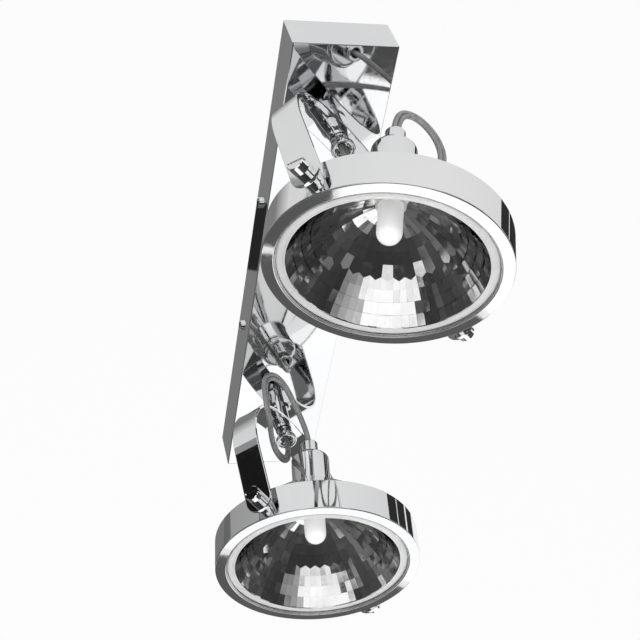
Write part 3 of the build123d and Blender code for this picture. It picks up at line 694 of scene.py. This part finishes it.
def make_world():
    world = bpy.data.worlds.new("surroundings")
    world.use_nodes = True
    tree = world.node_tree
    tree.nodes.clear()
    path = tree.nodes.new("ShaderNodeLightPath")
    seen = tree.nodes.new("ShaderNodeMath")
    seen.operation = "MAXIMUM"
    tree.links.new(path.outputs["Is Camera Ray"], seen.inputs[0])
    more = tree.nodes.new("ShaderNodeMath")
    more.operation = "MAXIMUM"
    tree.links.new(path.outputs["Is Glossy Ray"], more.inputs[0])
    tree.links.new(path.outputs["Is Transmission Ray"], more.inputs[1])
    tree.links.new(more.outputs[0], seen.inputs[1])
    white = tree.nodes.new("ShaderNodeBackground")
    white.inputs["Color"].default_value = (1, 1, 1, 1)
    white.inputs["Strength"].default_value = 1.0
    soft = tree.nodes.new("ShaderNodeBackground")
    soft.inputs["Color"].default_value = (1, 1, 1, 1)
    soft.inputs["Strength"].default_value = AMBIENT_LEVEL
    mix = tree.nodes.new("ShaderNodeMixShader")
    tree.links.new(seen.outputs[0], mix.inputs["Fac"])
    tree.links.new(soft.outputs[0], mix.inputs[1])
    tree.links.new(white.outputs[0], mix.inputs[2])
    output = tree.nodes.new("ShaderNodeOutputWorld")
    tree.links.new(mix.outputs[0], output.inputs["Surface"])
    scene.world = world


make_world()


def add_lamp(name, place, target, size, power):
    data = bpy.data.lights.new(name, "AREA")
    data.size = size
    data.energy = power
    lamp = bpy.data.objects.new(name, data)
    lamp.location = place
    lamp.rotation_mode = "QUATERNION"
    lamp.rotation_quaternion = (Vector(target) - Vector(place)).to_track_quat("-Z", "Y")
    lamp.visible_glossy = False
    scene.collection.objects.link(lamp)


add_lamp("key_lamp", (-0.9, -1.2, 1.1), (0, -0.1, 0), size=0.8, power=14)
add_lamp("fill_lamp", (1.1, -1.0, 0.4), (0, -0.1, 0), size=0.8, power=8)


# Floor: white to the camera and the mirrors, with some of the object's shadow
FLOOR_HEIGHT = -1.6
FLOOR_SIZE = 16.0
FLOOR_WHITE = 0.93


def make_floor():
    bm = bmesh.new()
    bmesh.ops.create_grid(bm, x_segments=1, y_segments=1, size=FLOOR_SIZE / 2)
    mesh = bpy.data.meshes.new("floor")
    bm.to_mesh(mesh)
    bm.free()
    floor = bpy.data.objects.new("floor", mesh)
    floor.location = (0, 0, FLOOR_HEIGHT)
    scene.collection.objects.link(floor)
    material = bpy.data.materials.new("floor")
    material.use_nodes = True
    tree = material.node_tree
    tree.nodes.clear()
    lit = tree.nodes.new("ShaderNodeBsdfDiffuse")
    lit.inputs["Color"].default_value = (0.9, 0.9, 0.9, 1)
    white = tree.nodes.new("ShaderNodeEmission")
    white.inputs["Strength"].default_value = 1.0
    path = tree.nodes.new("ShaderNodeLightPath")
    seen = tree.nodes.new("ShaderNodeMath")
    seen.operation = "MAXIMUM"
    tree.links.new(path.outputs["Is Camera Ray"], seen.inputs[0])
    tree.links.new(path.outputs["Is Glossy Ray"], seen.inputs[1])
    share = tree.nodes.new("ShaderNodeMath")
    share.operation = "MULTIPLY"
    share.inputs[1].default_value = FLOOR_WHITE
    tree.links.new(seen.outputs[0], share.inputs[0])
    mix = tree.nodes.new("ShaderNodeMixShader")
    tree.links.new(share.outputs[0], mix.inputs["Fac"])
    tree.links.new(lit.outputs[0], mix.inputs[1])
    tree.links.new(white.outputs[0], mix.inputs[2])
    output = tree.nodes.new("ShaderNodeOutputMaterial")
    tree.links.new(mix.outputs[0], output.inputs["Surface"])
    mesh.materials.append(material)


make_floor()

# Studio: curved cards round the light that only mirrors see
STUDIO_MIDDLE = Vector((0, -0.1, 0))
STUDIO_RADIUS = 1.5
CARD_STEP = 6


def direction(azimuth, elevation):
    """Azimuth runs from the wall's side (+Y) by way of +X, both in degrees."""
    a = math.radians(azimuth)
    e = math.radians(elevation)
    return Vector((math.sin(a) * math.cos(e), math.cos(a) * math.cos(e), math.sin(e)))


def card_material(name, low, high):
    """A glow from low at the card's foot to high at its head."""
    material = bpy.data.materials.new(name)
    material.use_nodes = True
    tree = material.node_tree
    tree.nodes.clear()
    coords = tree.nodes.new("ShaderNodeTexCoord")
    split = tree.nodes.new("ShaderNodeSeparateXYZ")
    tree.links.new(coords.outputs["Generated"], split.inputs[0])
    level = tree.nodes.new("ShaderNodeMapRange")
    level.inputs["To Min"].default_value = low
    level.inputs["To Max"].default_value = high
    tree.links.new(split.outputs["Z"], level.inputs["Value"])
    glow = tree.nodes.new("ShaderNodeEmission")
    tree.links.new(level.outputs["Result"], glow.inputs["Strength"])
    output = tree.nodes.new("ShaderNodeOutputMaterial")
    tree.links.new(glow.outputs[0], output.inputs["Surface"])
    return material


def add_card(name, azimuths, elevations, low, high, distance=STUDIO_RADIUS):
    """A card on a sphere round the light, between two azimuths and two elevations."""
    columns = max(2, round((azimuths[1] - azimuths[0]) / CARD_STEP))
    rows = max(2, round((elevations[1] - elevations[0]) / CARD_STEP))
    bm = bmesh.new()
    grid = []
    for i in range(rows + 1):
        elevation = elevations[0] + (elevations[1] - elevations[0]) * i / rows
        line = []
        for k in range(columns + 1):
            azimuth = azimuths[0] + (azimuths[1] - azimuths[0]) * k / columns
            line.append(bm.verts.new(STUDIO_MIDDLE + direction(azimuth, elevation) * distance))
        grid.append(line)
    for a, b in zip(grid, grid[1:]):
        for k in range(columns):
            bm.faces.new((a[k], a[k + 1], b[k + 1], b[k]))
    mesh = bpy.data.meshes.new(name)
    bm.to_mesh(mesh)
    bm.free()
    mesh.materials.append(card_material(name, low, high))
    card = bpy.data.objects.new(name, mesh)
    scene.collection.objects.link(card)
    card.visible_camera = False
    card.visible_diffuse = False
    card.visible_transmission = False
    card.visible_shadow = False
    card.visible_volume_scatter = False


# Name, azimuths, elevations, level at the foot and at the head, and the distance where it isn't the studio's
CARDS = [
    ("behind_high", (322, 440), (-3, 88), 0.76, 0.86),
    ("behind_middle", (322, 400), (-17, -3), 0.24, 0.7),
    ("behind_low", (322, 400), (-62, -17), 0.19, 0.23),
    ("left_high", (285, 322), (24, 62), 0.82, 0.86),
    ("left_middle", (285, 322), (-25, 24), 0.36, 0.44),
    ("left_low", (194, 322), (-61, -25), 0.1, 0.17),
    ("below", (0, 360), (-89, -62), 0.11, 0.11),
    ("front", (95, 285), (-23, 27.5), 0.08, 0.03),
    ("front_low", (120, 193), (-61, -23), 1.2, 1.2),
    ("front_brow", (168, 222), (27.5, 33.5), 0.05, 0.05),
    ("front_edge", (245, 258), (27.5, 57), 0.08, 0.08),
    ("front_side", (138, 168), (27.5, 57), 0.25, 0.6),
    ("front_left", (258, 290), (27.5, 62), 0.07, 0.09),
    ("front_top", (138, 258), (57, 70), 0.08, 0.1),
    ("right_high", (82, 138), (27.5, 62), 0.06, 0.14),
    ("right_stripe", (40, 82), (-6.5, 6), 0.03, 0.03, 0.85),
    ("right_band", (40, 82), (-20, -7.5), 0.03, 0.03, 0.85),
    ("right_foot", (30, 82), (-32.5, -21), 0.03, 0.03, 1.3),
    ("side_patch", (335, 352), (-34.5, -29.5), 0.02, 0.02, 1.3),
    ("arm_patch", (298, 315.5), (12.5, 26), 0.01, 0.01, 1.35),
    ("arm_shade", (315.5, 323), (4, 26), 0.28, 0.34, 1.36),
]
for name, *card in CARDS:
    add_card(f"card_{name}", *card)

# Panes like a row of windows, which the sides of the bowls mirror
PANES = 9
PANE_DISTANCE = 1.45
for i in range(PANES):
    azimuths = (99 + 20 * i, 107 + 20 * i)
    foot = -18 + 13 * (i % 3)
    level = 0.1 + 0.06 * (i % 4)
    add_card(f"card_front_pane_{i}", azimuths, (foot, foot + 11), level, level, PANE_DISTANCE)

# White light above the front, with a foot that drops to one side: the bright block of facets in each bowl
BLOCK_HEAD = 57
BLOCK_DISTANCE = 1.44
BLOCK = [(168, 208, 33), (208, 222, 29.5), (222, 234, 22), (234, 245, 12.5)]
for i, (near_edge, far_edge, foot) in enumerate(BLOCK):
    add_card(f"card_front_high_{i}", (near_edge, far_edge), (foot, BLOCK_HEAD), 0.85, 1.25, BLOCK_DISTANCE)
